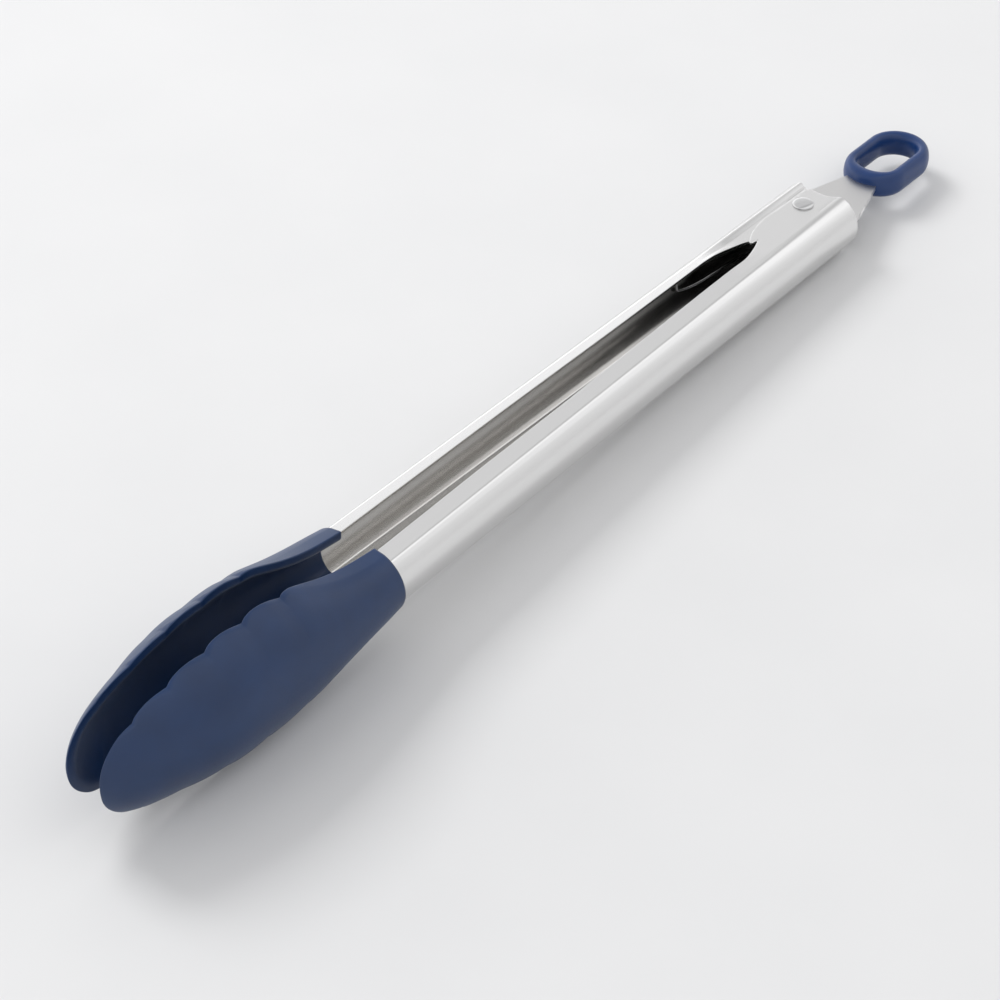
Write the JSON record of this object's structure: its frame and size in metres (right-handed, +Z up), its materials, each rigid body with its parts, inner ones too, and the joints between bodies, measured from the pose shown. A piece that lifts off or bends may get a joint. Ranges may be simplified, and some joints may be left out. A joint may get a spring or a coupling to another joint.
{
  "type": "locking kitchen tongs",
  "caption": "Spring loaded kitchen tongs: steel channel arms on a rivet, silicone scoop heads with scalloped rims, and a sliding wedge lock with a silicone hanging ring.",
  "frame": {"origin": "on the surface that the tongs lie on, under the middle of the whole object", "axes": "+X along the tongs towards the hanging ring, +Y towards the rear arm, +Z up, along the pivot rivet; the tongs lie on their side, locked shut"},
  "size_m": [0.357, 0.035, 0.0399],
  "materials": {
    "steel": "satin brushed stainless steel",
    "silicone": "satin moulded silicone, navy blue",
    "rivet": "polished stainless steel",
    "sleeve": "turned stainless steel",
    "washer": "natural nylon",
    "spring": "drawn spring wire",
    "plate": "satin stainless steel",
    "ring": "satin moulded silicone, navy blue"
  },
  "bodies": {
    "pivot": {"pivot_rivet": "rivet", "pivot_sleeve": "sleeve", "upper_washer": "washer", "lower_washer": "washer", "torsion_spring": "spring"},
    "front": {"front_arm": "steel", "front_head": "silicone"},
    "rear": {"rear_arm": "steel", "rear_head": "silicone"},
    "lock": {"lock_plate": "plate", "hang_ring": "ring"}
  },
  "joints": [
    {"name": "front_arm_pivot", "type": "hinge", "parent": "pivot", "child": "front", "pos_m": [0.117, 0, 0.02015], "axis": [0, 0, 1], "range_deg": [0, 10], "stiffness_Nm_per_rad": 0.6, "springref_deg": 29.79, "deforming": ["torsion_spring"]},
    {"name": "rear_arm_pivot", "type": "hinge", "parent": "pivot", "child": "rear", "pos_m": [0.117, 0, 0.02015], "axis": [0, 0, -1], "range_deg": [0, 10]},
    {"name": "lock_slide", "type": "slide", "parent": "pivot", "child": "lock", "axis": [-1, 0, 0], "range_m": [0, 0.01]}
  ],
  "couplings": [
    {"joint": "rear_arm_pivot", "follows": "front_arm_pivot", "ratio": 1},
    {"joint": "lock_slide", "follows": "front_arm_pivot", "m_per_rad": 0.0572}
  ]
}
